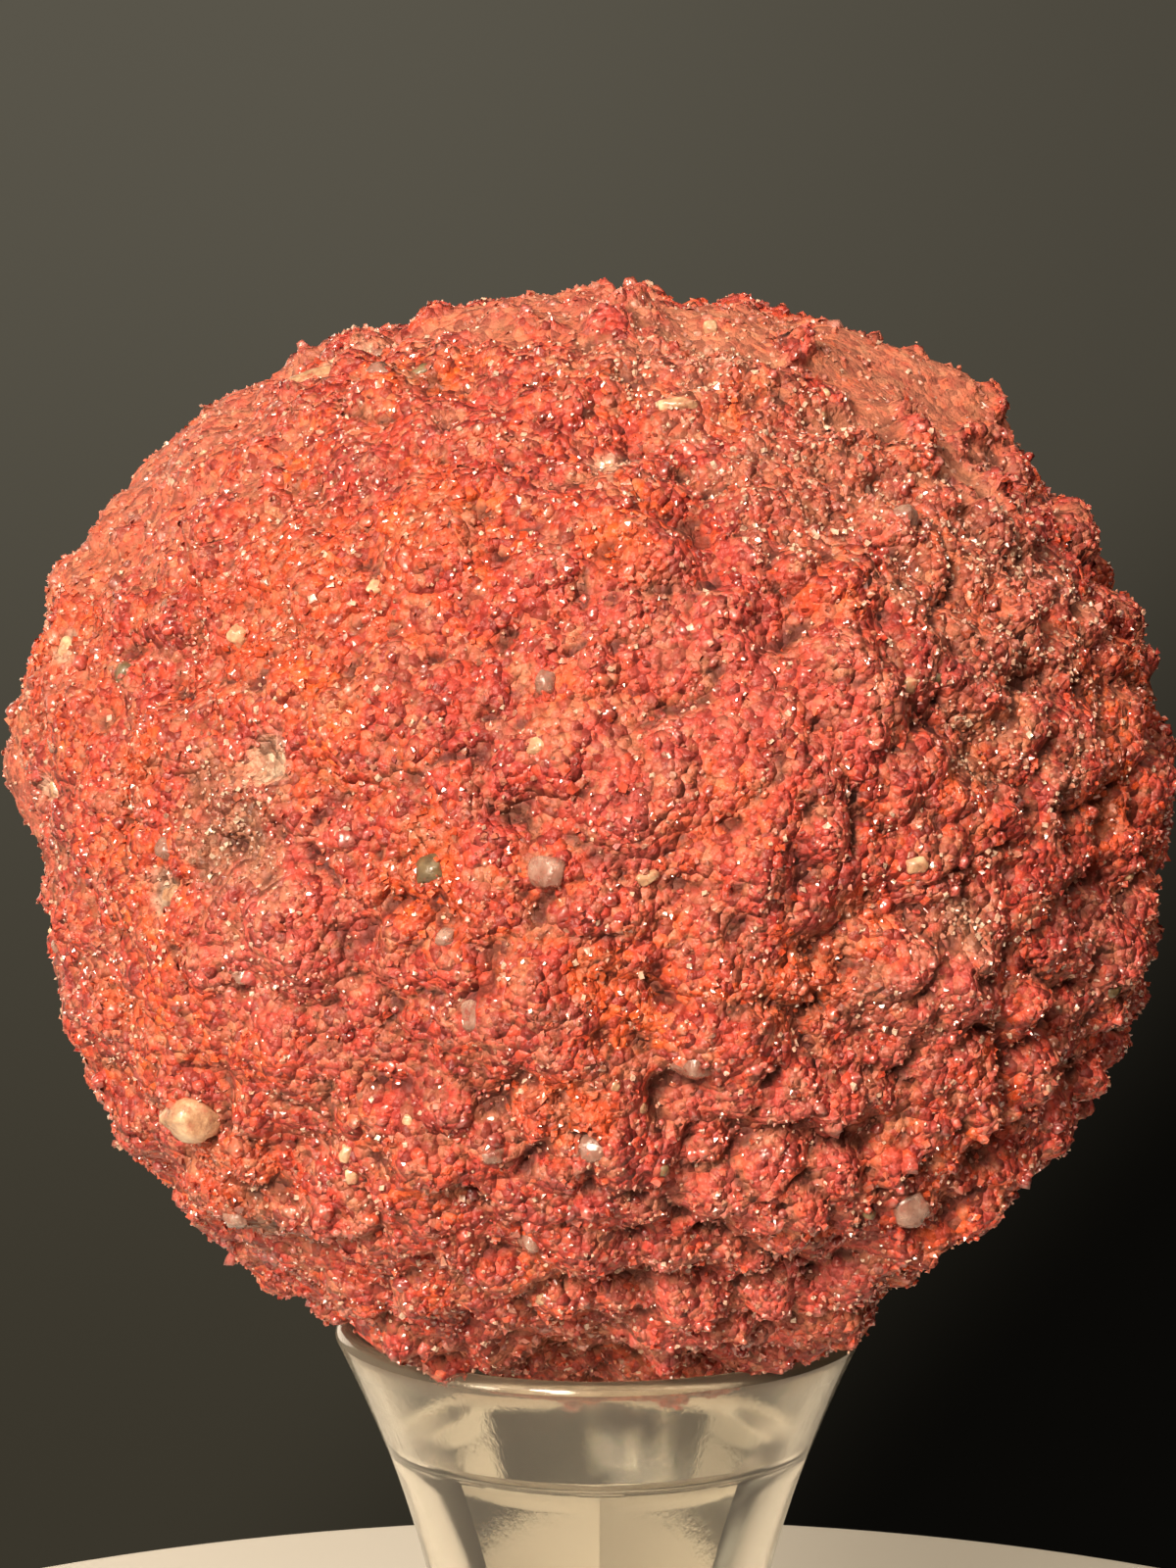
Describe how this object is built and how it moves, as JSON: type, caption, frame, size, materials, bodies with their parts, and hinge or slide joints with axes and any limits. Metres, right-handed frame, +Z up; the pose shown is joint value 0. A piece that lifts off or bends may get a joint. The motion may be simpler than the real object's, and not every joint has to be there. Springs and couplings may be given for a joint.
{
  "type": "cinnabar specimen on a stand",
  "caption": "Near-round nodule of red cinnabar rock resting in the flared mouth of a clear moulded display stand with a flat round foot.",
  "frame": {"origin": "on the surface that the stand's foot rests on, under the middle of the stone's width and depth", "axes": "+Z up along the height, +X to the right and -Y towards the viewer of the front"},
  "size_m": [0.0464, 0.0462, 0.0768],
  "materials": {
    "cinnabar_rock": "granular, red to orange-red, with small wet-looking glints and pale quartz grains",
    "clear_plastic": "clear, slightly milky, glossy moulded plastic"
  },
  "bodies": {
    "root": {"cinnabar": "cinnabar_rock", "stand": "clear_plastic"}
  },
  "joints": []
}
